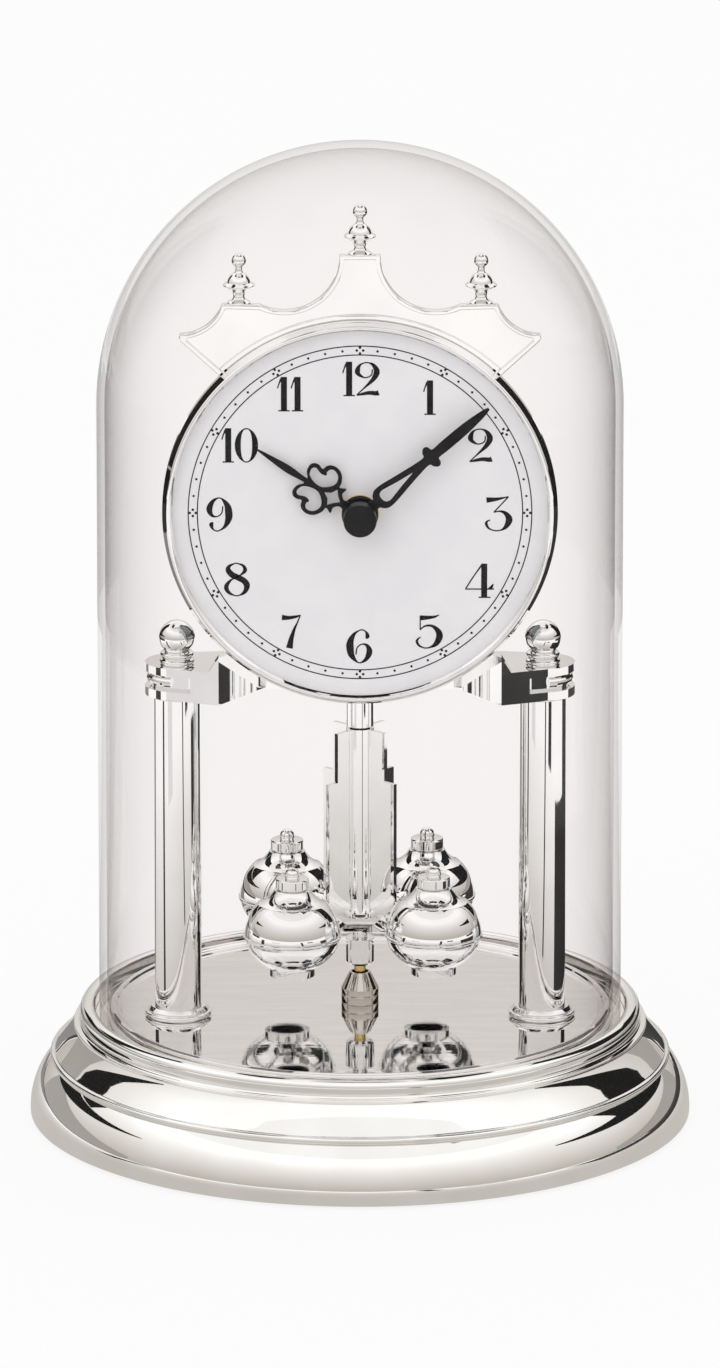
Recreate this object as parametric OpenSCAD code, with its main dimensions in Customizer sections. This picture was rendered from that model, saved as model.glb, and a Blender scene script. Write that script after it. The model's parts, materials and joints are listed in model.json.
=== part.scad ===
// Anniversary clock: a glass dome over a dial on two pillars, with a slowly turning four-ball pendulum.
// The frame is millimetres, +Z up, the dial faces -Y, and the origin is the centre of the felt underside.

/* [Base] */
// Greatest diameter of the spun base
base_d = 150; // [148:1:156]
// Height of the bright plate that carries the pillars
plate_z = 24.5; // [24:0.1:25]
// Thickness of the spun sheet
sheet = 1.2; // [0.8:0.1:1.5]

/* [Dome] */
// Outer diameter of the glass dome
dome_d = 118.4; // [117.6:0.2:119]
// Height of the dome's crown above the ground
dome_top = 225.2; // [223:0.2:240]
// Glass thickness
glass_t = 1.8; // [1.4:0.1:2]

/* [Pillars] */
// Distance between the two pillar axes
pillar_gap = 82.4; // [81:0.2:84]
// Outer diameter of a pillar tube
pillar_d = 10.6; // [9.6:0.1:11]
// How far the pillars stand in front of the base's axis
pillar_y = -5.4; // [-6:0.1:-5]

/* [Dial] */
// Outer diameter of the bezel
bezel_d = 88.6; // [87:0.2:90]
// Height of the dial's centre
dial_z = 144.8; // [144:0.2:147]

/* [Hands at rest] */
// Minutes that the minute hand shows
rest_minute = 8.16; // [0:0.1:59]
// Hours that the hour hand shows
rest_hour = 10.11; // [0:0.01:11.99]

/* [Pendulum] */
// Distance of each ball's axis from the pendulum's axis
ball_reach = 22.6; // [22:0.2:24]
// Greatest diameter of a ball
ball_d = 21.6; // [21:0.2:22.4]
// How far the pendulum is turned from the square position
rest_turn = 2.4; // [-20:0.2:20]

/* [Hidden] */
$fn = 96;
eps = 0.02;

// Colours
c_chrome = [0.86, 0.86, 0.85];
c_nickel = [0.80, 0.78, 0.74];
c_brass = [0.80, 0.62, 0.28];
c_white = [0.93, 0.94, 0.96];
c_black = [0.12, 0.12, 0.13];
c_grey = [0.35, 0.36, 0.38];
c_glass = [0.90, 0.92, 0.94, 0.25];
c_felt = [0.10, 0.20, 0.14];

// Base heights and radii
base_r = base_d / 2;
felt_t = 1.0;
board_t = 2.0;
foot_z = 0.4;
ovolo_r = 16;
ovolo_z = 1.7;
bead_z = 14.3;
rim_r = 61.6;
rim_z = 24.4;
rim_tube = 2.0;
seat_r = 60.2;
seat_z = plate_z - 1.5;
flange_r = 50;
clamp_t = 1.6;

// Dome
dome_r = dome_d / 2;
dome_in = dome_r - glass_t;
dome_z = seat_z + 0.05;
plate_r = dome_in - 0.4;
spring_z = dome_top - dome_r;

// Pillars, rods and arms
pillar_x = pillar_gap / 2;
pillar_r = pillar_d / 2;
pillar_wall = 1.0;
rod_r = 2.0;
nut_t = 3.2;
foot_r = 7.65;
foot_h = 2.5;
arm_z = 99.5;
arm_top = 106.9;
arm_rise = 110.6;
arm_end_r = 7.2;
arm_end_y = -2.9;
corner_x = 31.8;
corner_y = -14.0;
inner_x = 21.2;
inner_y = 1.9;
arm_back_y = 5.9;
groove_d = 1.6;
ball_fin_r = 4.05;
ball_fin_z = 113.05;

// Dial, bezel and crest
face_y = -16.0;
dial_t = 0.8;
dial_back = face_y + dial_t;
bezel_r = bezel_d / 2;
bezel_in = 42.0;
bezel_front = -18.6;
crest_t = 1.4;
crest_peak = 59.2;
crest_ledge = 47.95;
finial_x = 27.0;
crest_y = -14.0;
lead_y = crest_y - crest_t;

// Movement module
mod_half = 27.5;
mod_lo = 118.0;
mod_hi = 173.0;
mod_front = face_y + dial_t;
mod_back = 3.4;
mod_wall = 1.2;
mod_split = -1.0;
bay_h = 14.8;
room_up = 16.6;
cell_r = 7.1;
cell_len = 49.5;
cell_y = -4.6;
cell_z = mod_lo + mod_wall + 0.4 + cell_r;

// Motion work, all axes along Y
m_fine = 0.3;
m_mid = 0.5;
m_hour = 0.48;
n_centre = 60;
n_drive = 8;
n_cannon = 12;
n_minute = 36;
n_pinion = 10;
n_hour = 40;
n_set = 12;
minute_dist = m_mid * (n_cannon + n_minute) / 2;
set_dist = m_mid * (n_set + n_minute) / 2;
drive_dist = m_fine * (n_centre + n_drive) / 2;
minute_dir = 40;
drive_dir = 150;
minute_pos = minute_dist * [cos(minute_dir), sin(minute_dir)];
set_pos = minute_pos + set_dist * [cos(minute_dir), sin(minute_dir)];
drive_pos = drive_dist * [cos(drive_dir), sin(drive_dir)];

// Hands
hour_y = -18.0;
minute_y = -20.0;
hand_t = 0.4;
cap_front = -23.9;
cap_r = 3.7;
hub_r = 4.1;

// Pendulum
pend_y = 5.0;
tube_r = 3.1;
tube_lo = 89.7;
column_r = 3.2;
spine_r = 1.7;
column_lo = 39.7;
vane_t = 1.0;
vane_r1 = 7.9;
vane_r2 = 10.8;
vane_step = 77.8;
vane_lo = 45.0;
bowl_arm = 6.6;
ball_r = ball_d / 2;
ball_z = 45.3;
band = 0.3;
cup_r = 4.3;
drive_lo = arm_z;
drive_hi = 116.4;
drive_back = 19.0;
drive_front = 0.0;
drive_wall = 1.2;

function arc(cx, cz, r, a0, a1, n = 12) =
    [for (i = [0:n]) let (a = a0 + (a1 - a0) * i / n) [cx + r * cos(a), cz + r * sin(a)]];
function oval(cx, cz, rx, rz, a0, a1, n = 16) =
    [for (i = [0:n]) let (a = a0 + (a1 - a0) * i / n) [cx + rx * cos(a), cz + rz * sin(a)]];
function flip(points) = [for (p = points) [-p[0], p[1]]];
function backwards(points) = [for (i = [len(points) - 1:-1:0]) points[i]];

// A closed outline that is symmetric about x = 0, from its right half
function mirrored(half) = concat(half, backwards(flip(half)));

module lathe(points) {
    rotate_extrude() polygon(points);
}

// Stands an XY drawing up in the XZ plane, from y0 back to y0 + t
module upright(y0, t) {
    translate([0, y0 + t, 0]) rotate([90, 0, 0]) linear_extrude(t) children();
}

// A round bar along Y
module bar(r, y0, y1) {
    translate([0, y1, 0]) rotate([90, 0, 0]) cylinder(r = r, h = y1 - y0);
}

// Spur gear outline with simple trapezoid teeth, one tooth centred on +X when phase is 0
function gear_points(n, m, phase) =
    let (rp = n * m / 2, ro = rp + 0.9 * m, ri = rp - 1.15 * m, step = 360 / n)
    [for (i = [0:n - 1]) for (k = [[-0.33, ri], [-0.21, rp], [-0.10, ro], [0.10, ro], [0.21, rp], [0.33, ri]])
        let (a = phase + (i + k[0]) * step) k[1] * [cos(a), sin(a)]];

module gear(n, m, phase, y0, t, bore = 0) {
    upright(y0, t) difference() {
        polygon(gear_points(n, m, phase));
        if (bore > 0) circle(r = bore);
    }
}

// ---- base ----

bead = concat([[69.9, 13.6]], arc(69.7, bead_z, 0.75, -60, 70, 6), [[69.4, 15.1]]);
shell_outer = concat(
    [[base_r - 0.9, foot_z]],
    arc(base_r - ovolo_r, ovolo_z, ovolo_r, -3, 48, 14),
    bead,
    [[68.7, 16.0], [67.7, 17.3], [66.5, 18.9], [65.6, 20.3], [65.0, 21.4], [65.0, 21.9]],
    arc(64.3, 23.0, 1.0, 250, 170, 6),
    arc(rim_r, rim_z, rim_tube, 0, 120, 10),
    [[seat_r, rim_z + 1.2], [seat_r, seat_z]]);
shell_inner = concat(
    [[flange_r, seat_z], [flange_r, seat_z - sheet], [62.4, seat_z - sheet]],
    [[63.4, 21.0], [64.6, 18.8], [66.4, 16.4], [67.8, 14.6], [68.6, 12.6]],
    arc(base_r - ovolo_r, ovolo_z, ovolo_r - sheet, 40, 0, 10),
    [[base_r - 0.9 - sheet, foot_z]]);

module base_shell() {
    color(c_nickel) lathe(concat(shell_outer, shell_inner));
}

module base_board() {
    color([0.32, 0.24, 0.17]) translate([0, 0, felt_t]) cylinder(r = base_r - 2.6, h = board_t);
}

module felt_pad() {
    color(c_felt) cylinder(r = base_r - 3.4, h = felt_t);
}

plate_ring = [
    [plate_r - 3.0, plate_z], [plate_r - 2.5, plate_z + 0.45], [plate_r - 2.0, plate_z + 0.6],
    [plate_r - 1.6, plate_z + 1.2], [plate_r - 1.0, plate_z + 1.45], [plate_r - 0.3, plate_z + 1.0],
    [plate_r, plate_z + 0.3], [plate_r, seat_z]];

module base_plate() {
    color(c_nickel) difference() {
        lathe(concat([[0, seat_z], [0, plate_z]], plate_ring));
        for (s = [-1, 1]) translate([s * pillar_x, pillar_y, seat_z - 1]) cylinder(r = rod_r + 0.15, h = 4);
        translate([0, pend_y, seat_z - 1]) cylinder(r = 1.55, h = 4);
    }
}

// Steel plate under the shell's flange, with a raised ring up to the bright plate
module clamp_plate() {
    color(c_grey) difference() {
        union() {
            translate([0, 0, seat_z - sheet - clamp_t]) cylinder(r = 58, h = clamp_t);
            translate([0, 0, seat_z - sheet - eps]) cylinder(r = flange_r - 0.2, h = sheet + eps);
        }
        translate([0, 0, seat_z - sheet]) cylinder(r = 30, h = 4);
        for (s = [-1, 1]) translate([s * pillar_x, pillar_y, 0]) cylinder(r = rod_r + 0.15, h = 30);
        translate([0, pend_y, 0]) cylinder(r = 2.2, h = 30);
    }
}

module guide_cup() {
    color(c_chrome) translate([0, pend_y, 0]) lathe([
        [0, 26.0], [1.9, 26.0], [1.9, 31.7], [2.35, 31.7], [cup_r, 27.9], [cup_r, plate_z],
        [1.5, plate_z], [1.5, seat_z - 0.1], [0, seat_z - 0.1]]);
}

// ---- dome ----

module glass_dome() {
    color(c_glass) difference() {
        union() {
            translate([0, 0, dome_z]) cylinder(r = dome_r, h = spring_z - dome_z);
            translate([0, 0, spring_z]) sphere(r = dome_r);
        }
        translate([0, 0, dome_z - 1]) cylinder(r = dome_in, h = spring_z - dome_z + 1);
        translate([0, 0, spring_z]) sphere(r = dome_in);
        translate([0, 0, dome_z - 100]) cylinder(r = 80, h = 100);
    }
}

// ---- pillars ----

module at_pillar(side) {
    translate([side * pillar_x, pillar_y, 0]) children();
}

module pillar_tube(side) {
    color(c_chrome) at_pillar(side) difference() {
        translate([0, 0, plate_z]) cylinder(r = pillar_r, h = arm_z - plate_z);
        translate([0, 0, plate_z - 1]) cylinder(r = pillar_r - pillar_wall, h = arm_z - plate_z + 2);
    }
}

module pillar_foot(side) {
    color(c_chrome) at_pillar(side) lathe(concat(
        [[pillar_r + eps, plate_z], [foot_r - 0.5, plate_z]],
        arc(foot_r - 0.6, plate_z + 0.7, 0.6, -60, 60, 5),
        [[foot_r - 0.75, plate_z + 1.3]],
        [[foot_r - 0.75, plate_z + 1.6],
         [pillar_r + 0.9, foot_h + plate_z], [pillar_r + eps, foot_h + plate_z]]));
}

module tie_rods() {
    color(c_grey) for (s = [-1, 1]) at_pillar(s) translate([0, 0, 15.2]) cylinder(r = rod_r, h = 97);
}

module tie_nuts() {
    color(c_grey) for (s = [-1, 1]) at_pillar(s)
        translate([0, 0, seat_z - sheet - clamp_t - nut_t]) difference() {
            cylinder(r = 4.0, h = nut_t, $fn = 6);
            translate([0, 0, -1]) cylinder(r = rod_r + eps, h = nut_t + 2);
        }
}

module pillar_ball(side) {
    color(c_chrome) at_pillar(side) difference() {
        lathe(concat(
            [[0, arm_top], [3.9, arm_top]],
            arc(3.35, arm_top + 0.8, 0.6, -40, 60, 5),
            [[3.3, arm_top + 1.6]],
            arc(3.2, arm_top + 2.4, 0.6, -50, 70, 5),
            [[2.7, arm_top + 3.2]],
            arc(0, ball_fin_z, ball_fin_r, -48, 90, 18)));
        translate([0, 0, arm_top - 1]) cylinder(r = rod_r + eps, h = 6.6);
    }
}

// ---- arms and pendulum drive housing ----

arm_plan = concat(
    arc(pillar_x + 0.1, arm_end_y, arm_end_r, 90, -82, 16),
    [[corner_x, corner_y], [inner_x, inner_y], [inner_x, arm_back_y], [31.0, arm_back_y - 0.2]]);
groove_plan = concat(
    arc(pillar_x + 0.1, arm_end_y, arm_end_r - groove_d, 60, -82, 14),
    [[38.6, -9.6], [38.0, -12.6], [39.0, -14.5], [50.0, -14.5], [52.0, 4.0], [46.6, 4.6]]);

// Raised wedge at the dial-side corner
wedge_side = [[corner_x, arm_top - eps], [34.0, arm_top - eps], [corner_x, arm_rise]];

module arm(side) {
    flip_x = side < 0 ? 1 : 0;
    color(c_chrome) mirror([flip_x, 0, 0]) difference() {
        union() {
            translate([0, 0, arm_z]) linear_extrude(arm_top - arm_z) polygon(arm_plan);
            translate([0, 0, arm_top]) linear_extrude(arm_rise - arm_top)
                polygon([[corner_x, corner_y], [corner_x, -11.2], [22.9, inner_y], [inner_x, inner_y]]);
            intersection() {
                upright(-14.2, 13) polygon(wedge_side);
                translate([0, 0, arm_z]) linear_extrude(20) polygon([
                    [corner_x - 0.1, corner_y], [34.2, -13.1], [34.2, -10.2], [corner_x - 0.1, -11.2]]);
            }
        }
        translate([0, 0, arm_z + 2.0]) linear_extrude(3.6) polygon(groove_plan);
        translate([pillar_x, pillar_y, arm_z - 1]) cylinder(r = rod_r + 0.15, h = 12);
    }
    // Half-round bead lying in the groove between the two ledges
    color(c_chrome) mirror([flip_x, 0, 0]) translate([pillar_x + 0.1, arm_end_y, arm_z + 3.8])
        rotate([0, 0, -78]) rotate_extrude(angle = 130) translate([arm_end_r - groove_d, 0])
            polygon(concat([[-0.4, -1.2]], arc(0, 0, 1.2, -90, 90, 8), [[-0.4, 1.2]]));
}

module drive_housing() {
    color(c_chrome) difference() {
        translate([-inner_x, drive_front, drive_lo])
            cube([2 * inner_x, drive_back - drive_front - 1.4, drive_hi - drive_lo]);
        translate([-inner_x + 1.4, drive_front + drive_wall, drive_lo + 1.4])
            cube([2 * inner_x - 2.8, drive_back, drive_hi - drive_lo - 2.8]);
        translate([0, pend_y, drive_lo - 1]) cylinder(r = tube_r + eps, h = 4);
    }
}

module drive_cover() {
    color(c_black) union() {
        translate([-inner_x, drive_back - 1.4, drive_lo]) cube([2 * inner_x, 1.4, drive_hi - drive_lo]);
        difference() {
            translate([-inner_x + 1.5, drive_back - 3.4, drive_lo + 1.5])
                cube([2 * inner_x - 3.0, 2.0 + eps, drive_hi - drive_lo - 3.0]);
            translate([-inner_x + 2.7, drive_back - 5, drive_lo + 2.7])
                cube([2 * inner_x - 5.4, 3.6, drive_hi - drive_lo - 5.4]);
        }
    }
}

module centre_tube() {
    color(c_chrome) translate([0, pend_y, 0]) difference() {
        translate([0, 0, tube_lo]) cylinder(r = tube_r, h = 101.6 - tube_lo);
        translate([0, 0, tube_lo - 1]) cylinder(r = 2.3, h = 20);
    }
}

module drive_coil() {
    color([0.62, 0.33, 0.16]) translate([9.0, 8.0, drive_lo + 1.4]) union() {
        for (z = [0, 5.2]) translate([0, 0, z]) cylinder(r = 3.4, h = 0.8);
        cylinder(r = 2.9, h = 6.0);
    }
}

module suspension_block() {
    color(c_brass) translate([-4, drive_front + drive_wall, 112.4]) difference() {
        cube([8, 7.6, 2.6]);
        translate([4, pend_y - drive_front - drive_wall, -1]) cylinder(r = 0.35, h = 5);
    }
}

// ---- dial group ----

module at_dial() {
    translate([0, 0, dial_z]) children();
}

module dial_plate() {
    color(c_white) at_dial() upright(face_y, dial_t) difference() {
        circle(r = 43.0);
        circle(r = 3.0);
    }
}

module bezel() {
    color(c_chrome) at_dial() rotate([90, 0, 0]) lathe(concat(
        [[bezel_in, -face_y + eps], [bezel_in, -bezel_front - 1.5], [bezel_in + 0.35, -bezel_front - 1.1]],
        [[bezel_in + 0.55, -bezel_front - 0.9]],
        arc(bezel_r - 1.1, -bezel_front - 1.1, 1.1, 130, 0, 8),
        [[bezel_r, 13.6], [43.1, 13.6], [43.1, -face_y + eps]]));
}

// Right half of the crest's outline from the top down, drawn inset by d all round
function crest_half(d) = concat(
    [[4.55 - d, crest_peak - d]],
    arc(16.9, 58.9, 12.35 + d, 180 + 3.5 * d, 297 - 2.5 * d, 16),
    [[30.5 - d * 0.9, crest_ledge - d]],
    arc(40.2, 51.0, 9.9 + d, 200 + 2 * d, 268 - 5.5 * d, 8),
    [[40.3 - d * 1.55, 40.9 - d], [40.4 - d * 1.6, 39.9 - d * 0.3], [39.8 - d * 1.35, 39.2 + d * 0.1]],
    [[32.4 - d, 32.4 + d * 0.6], [31.0 - d, 31.0]]);

module crest() {
    color(c_chrome) at_dial() difference() {
        union() {
            upright(lead_y, crest_t) polygon(mirrored(crest_half(0)));
            upright(lead_y - 0.4, 0.4 + eps) difference() {
                polygon(mirrored(crest_half(0)));
                polygon(mirrored(crest_half(1.15)));
            }
            upright(lead_y - 0.4, 0.4 + eps) difference() {
                circle(r = 45.7);
                circle(r = bezel_r - 1);
                translate([-50, -66]) square([100, 100]);
            }
        }
        bar(bezel_r + eps, -30, 0);
    }
}

finial_side = concat(
    [[0, 0], [2.65, 0], [2.65, 0.35], [2.1, 0.6], [1.35, 1.2], [1.2, 1.9], [1.5, 2.7], [2.4, 3.5]],
    [[3.3, 3.95], [3.65, 4.25], [3.3, 4.5]],
    oval(0, 4.5, 2.65, 2.75, 0, 68, 8),
    [[0.8, 7.4], [0.7, 8.1], [0.85, 8.5]],
    arc(0, 9.85, 1.6, -58, 90, 12));

// Finials stand on the crest's edge, held by a flat tenon behind the plate
module finial(x, z) {
    color(c_chrome) translate([x, crest_y - crest_t / 2, dial_z + z + eps]) lathe(finial_side);
}

// Two angle brackets that carry the dial on the arms' corners
module dial_brackets() {
    color(c_grey) for (s = [-1, 1]) mirror([s < 0 ? 1 : 0, 0, 0]) union() {
        translate([21.5, dial_back, arm_rise + eps]) cube([4.0, 1.1, 6.4]);
        translate([21.5, dial_back, arm_rise + eps]) cube([4.0, -dial_back, 1.2]);
    }
}

// ---- hands ----

// Turns a hand drawn pointing up to its rest angle, clockwise as seen from the front
module at_hand(turn, y0, t) {
    at_dial() upright(y0, t) rotate([0, 0, -turn]) children();
}

// Right halves of the hour hand's outline and of its openings, drawn pointing up
hour_side = [
    [1.1, 3.0], [0.9, 5.0], [1.9, 5.95], [3.3, 5.8], [2.75, 7.25], [3.9, 7.5], [5.2, 8.2], [6.0, 9.2],
    [6.3, 10.5], [6.0, 11.7], [5.3, 12.4], [4.3, 12.8], [4.65, 14.0], [4.4, 15.1], [3.5, 15.7],
    [1.95, 15.5], [0.6, 14.6], [0.8, 17.8], [0.85, 20.2], [0.6, 23.2], [0.3, 26.0], [0.06, 27.6]];
hour_eye = [
    [2.2, 14.8], [3.0, 14.9], [3.55, 14.6], [3.7, 14.0], [3.35, 13.1], [3.2, 12.4], [3.35, 11.5],
    [3.75, 11.3], [4.2, 11.6], [5.1, 11.3], [5.45, 10.5], [5.1, 9.4], [4.3, 8.7], [3.2, 8.45],
    [2.2, 8.85], [1.3, 9.7], [0.65, 10.8], [0.6, 12.2], [0.95, 13.5], [1.5, 14.4]];
hour_gap = [[0, 9.6], [0.8, 8.15], [2.15, 7.4], [0.95, 6.5], [0, 5.3]];

module hour_hand() {
    color(c_black) at_hand(rest_hour * 30, hour_y, hand_t) difference() {
        union() {
            circle(r = hub_r);
            polygon(mirrored(hour_side));
        }
        polygon(hour_eye);
        polygon(flip(hour_eye));
        polygon(concat(hour_gap, [[-0.95, 6.5], [-2.15, 7.4], [-0.8, 8.15]]));
        circle(r = 2.02);
    }
}

minute_side = [
    [1.3, 2.5], [1.2, 4.8], [1.75, 5.2], [2.5, 6.2], [2.65, 7.4], [2.5, 9.1], [1.85, 13.0], [1.25, 17.0],
    [1.05, 19.6], [1.9, 20.1], [2.6, 20.8], [2.65, 21.5], [2.2, 22.0], [1.35, 22.2], [1.15, 22.9],
    [1.25, 25.1], [1.2, 31.0], [0.75, 36.0], [0.3, 38.1]];
minute_eye = [[0.06, 15.5], [0.65, 11.9], [1.2, 9.3], [1.5, 7.7], [1.25, 6.9], [0.6, 6.45]];

module minute_hand() {
    color(c_black) at_hand(rest_minute * 6, minute_y, hand_t) difference() {
        union() {
            circle(r = 3.3);
            polygon(mirrored(minute_side));
        }
        polygon(mirrored(minute_eye));
        circle(r = 1.02);
    }
}

module hand_cap() {
    color(c_black) at_dial() rotate([90, 0, 0]) lathe([
        [0, 21.3], [1.02, 21.3], [1.02, -minute_y + eps], [cap_r, -minute_y + eps], [cap_r, -cap_front - 0.2],
        [cap_r - 0.2, -cap_front], [0, -cap_front]]);
}

// ---- movement module ----

module module_front() {
    color(c_grey) difference() {
        translate([-mod_half, mod_front, mod_lo])
            cube([2 * mod_half, mod_split - mod_front, mod_hi - mod_lo]);
        translate([-mod_half + mod_wall, mod_front + mod_wall, mod_lo + mod_wall])
            cube([2 * mod_half - 2 * mod_wall, 20, bay_h]);
        translate([-mod_half + mod_wall, mod_front + mod_wall, mod_lo + room_up])
            cube([2 * mod_half - 2 * mod_wall, 20, mod_hi - mod_lo - room_up - mod_wall]);
        at_dial() bar(2.75, -20, -5);
    }
    // Post that the minute wheel turns on
    color(c_grey) translate([minute_pos[0], 0, dial_z + minute_pos[1]])
        bar(0.8, mod_front + mod_wall - eps, -7.4);
}

module module_back() {
    color(c_black) difference() {
        union() {
            translate([-mod_half, mod_split, mod_lo])
                cube([2 * mod_half, mod_back - mod_split, mod_hi - mod_lo]);
        }
        translate([-mod_half + mod_wall, mod_split - 1, mod_lo + mod_wall])
            cube([2 * mod_half - 2 * mod_wall, 20, bay_h]);
        translate([-mod_half + mod_wall, mod_split - 1, mod_lo + room_up])
            cube([2 * mod_half - 2 * mod_wall, mod_back - mod_split + 1 - mod_wall,
                  mod_hi - mod_lo - room_up - mod_wall]);
        translate([set_pos[0], 0, dial_z + set_pos[1]]) bar(1.1, -10, 10);
    }
    color(c_black) difference() {
        at_dial() bar(2.4, -6.6, mod_back - 0.2);
        at_dial() bar(0.66, -8, 1.0);
    }
}

module centre_nut() {
    color(c_brass) at_dial() difference() {
        union() {
            bar(4.2, face_y - 0.9, face_y - eps);
            bar(2.7, face_y - eps, -13.6);
        }
        bar(2.35, -20, -5);
    }
}

module battery() {
    color([0.25, 0.27, 0.30]) translate([0, cell_y, cell_z]) rotate([0, 90, 0]) union() {
        translate([0, 0, -cell_len / 2]) cylinder(r = cell_r, h = cell_len - 1.4);
        translate([0, 0, cell_len / 2 - 1.42]) cylinder(r = 2.6, h = 1.42);
    }
}

module circuit_board() {
    color([0.10, 0.35, 0.20]) difference() {
        translate([-25.6, 0.0, 162.5]) cube([36, 1.0, 8.8]);
        translate([-22, -1, 167]) rotate([-90, 0, 0]) cylinder(r = 0.8, h = 4);
    }
}

module motor_unit() {
    color(c_white) translate([drive_pos[0], 0, dial_z + drive_pos[1]]) difference() {
        translate([-13.2, -6.9, -7.0]) cube([16.0, 8.8, 13.6]);
        bar(0.56, -8, -3);
    }
}

// ---- motion work ----

cannon_phase = minute_dir + 180 / n_cannon;
pinion_phase = minute_dir + 180 / n_pinion;

module minute_arbor() {
    color(c_brass) at_dial() union() {
        bar(1.0, -21.0, -6.9);
        bar(0.6, -7.0, 0.4);
        gear(n_cannon, m_mid, cannon_phase, -10.6, 1.2);
        gear(n_centre, m_fine, drive_dir, -8.6, 0.8);
    }
}

module hour_wheel() {
    color(c_brass) at_dial() difference() {
        union() {
            bar(2.0, -18.5, -11.3);
            gear(n_hour, m_hour, minute_dir, -12.3, 0.9);
        }
        bar(1.08, -20, -10);
    }
}

module minute_wheel() {
    color(c_brass) translate([minute_pos[0], 0, dial_z + minute_pos[1]]) difference() {
        union() {
            gear(n_minute, m_mid, minute_dir + 180, -10.5, 0.9);
            gear(n_pinion, m_hour, pinion_phase + 180, -12.4, 1.95);
        }
        bar(0.86, -20, 0);
    }
}

module setting_knob() {
    color(c_white) translate([set_pos[0], 0, dial_z + set_pos[1]]) union() {
        gear(n_set, m_mid, minute_dir + 180 + 180 / n_set, -10.7, 1.4);
        bar(1.0, -10.7, 4.2);
        bar(3.6, 4.0, 6.6);
        for (i = [0:17]) rotate([0, i * 20, 0]) translate([3.3, 4.2, -0.3]) cube([0.65, 2.4, 0.6]);
    }
}

module drive_pinion() {
    color(c_brass) translate([drive_pos[0], 0, dial_z + drive_pos[1]]) union() {
        gear(n_drive, m_fine, drive_dir + 180 + 180 / n_drive, -8.8, 1.3);
        bar(0.5, -8.8, -3.4);
    }
}

// ---- pendulum ----

module at_pendulum() {
    translate([0, pend_y, 0]) rotate([0, 0, rest_turn]) children();
}

module at_ball(i) {
    at_pendulum() rotate([0, 0, 45 + 90 * i]) translate([ball_reach, 0, ball_z]) children();
}

module suspension_wire() {
    color(c_brass) at_pendulum() translate([0, 0, 110.7]) cylinder(r = 0.25, h = 4.2);
}

module pendulum_rod() {
    color(c_grey) at_pendulum() union() {
        translate([0, 0, 33.2]) cylinder(r = 1.2, h = 76.6);
        translate([0, 0, 107.6]) cylinder(r = 1.7, h = 3.1);
    }
}

module drive_magnet() {
    color(c_grey) at_pendulum() difference() {
        translate([0, 0, 103.6]) cylinder(r = 3.2, h = 2.0);
        translate([0, 0, 100]) cylinder(r = 1.2 + eps, h = 12);
    }
}

module pendulum_tube() {
    color(c_chrome) at_pendulum() difference() {
        translate([0, 0, column_lo]) cylinder(r = spine_r, h = tube_lo - 0.4 - column_lo);
        translate([0, 0, column_lo - 1]) cylinder(r = 1.2 + eps, h = 60);
    }
}

// Two crossed plates through a sleeve, wide below the step and narrow above it
vane_side = [[vane_r2, vane_lo + 0.1], [vane_r2, vane_step], [vane_r1, vane_step], [vane_r1, tube_lo - 0.5]];

module pendulum_vanes() {
    color(c_chrome) at_pendulum() difference() {
        union() {
            translate([0, 0, vane_lo]) cylinder(r = column_r, h = tube_lo - 0.4 - vane_lo);
            for (i = [0:1]) rotate([0, 0, 45 + 90 * i])
                upright(-vane_t / 2, vane_t) polygon(mirrored(vane_side));
        }
        translate([0, 0, vane_lo - 1]) cylinder(r = spine_r + eps, h = 60);
    }
}

// Bowl with four scalloped arms that reach the balls' waists
bowl_top = concat([[spine_r + eps, vane_lo], [column_r + 0.6, vane_lo]], arc(3.2, 60.0, 14.6, 275, 316, 10));
bowl_side = concat(bowl_top, backwards(arc(3.2, 58.6, 16.4, 272, 306, 10)), [[spine_r + eps, 42.2]]);

module pendulum_dish() {
    color(c_chrome) at_pendulum() difference() {
        intersection() {
            lathe(bowl_side);
            for (i = [0:3]) rotate([0, 0, 45 + 90 * i])
                translate([0, -bowl_arm / 2, 30]) cube([20, bowl_arm, 40]);
        }
        for (i = [0:3]) rotate([0, 0, 45 + 90 * i]) {
            translate([ball_reach, 0, 30]) cylinder(r = ball_r + band, h = 40);
            translate([0, -vane_t / 2 - eps, vane_lo - eps]) cube([12, vane_t + 2 * eps, 20]);
        }
    }
}

upper_outer = concat(oval(0, 0, ball_r, 10.4, 0, 45, 12), arc(9.6, 13.1, 6.1, 248, 205, 8));
upper_inner = [
    [3.9, 10.6], [1.25, 10.6], [1.25, 9.8], [3.4, 9.8], [4.6, 8.6], [6.2, 7.3], [8.4, 5.4], [9.6, 2.8]];

module ball_upper(i) {
    color(c_chrome) at_ball(i) lathe(concat(upper_outer, upper_inner, [[9.9, 0]]));
}

lower_outer = oval(0, 0, ball_r, 8.8, -7, -60, 14);
lower_inner = [
    [5.2, -7.8], [5.2, -9.5], [3.8, -9.5], [3.8, -6.6], [5.2, -6.5], [7.0, -5.7], [8.6, -4.2], [9.7, -2.0]];

// The lower half carries the raised waist band and the open collar underneath
module ball_lower(i) {
    color(c_chrome) at_ball(i) lathe(concat(
        [[9.9, 0], [ball_r, 0], [ball_r + band, -0.2], [ball_r + band, -0.6], [ball_r - 0.05, -0.9]],
        lower_outer, lower_inner));
}

module ball_caps() {
    color(c_chrome) for (i = [0:3]) at_ball(i) lathe(concat(
        [[0, 7.0], [1.2, 7.0], [1.2, 10.62], [3.45, 10.62],
         [3.75, 11.0], [3.75, 12.9], [3.5, 13.2], [1.6, 13.2]],
        arc(0, 13.9, 1.7, -20, 90, 10)));
}

module pendulum_sleeve() {
    color(c_chrome) at_pendulum() lathe([
        [1.2 + eps, 33.4], [2.3, 33.4], [3.25, 34.2], [3.25, column_lo], [1.2 + eps, column_lo]]);
}

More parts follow.
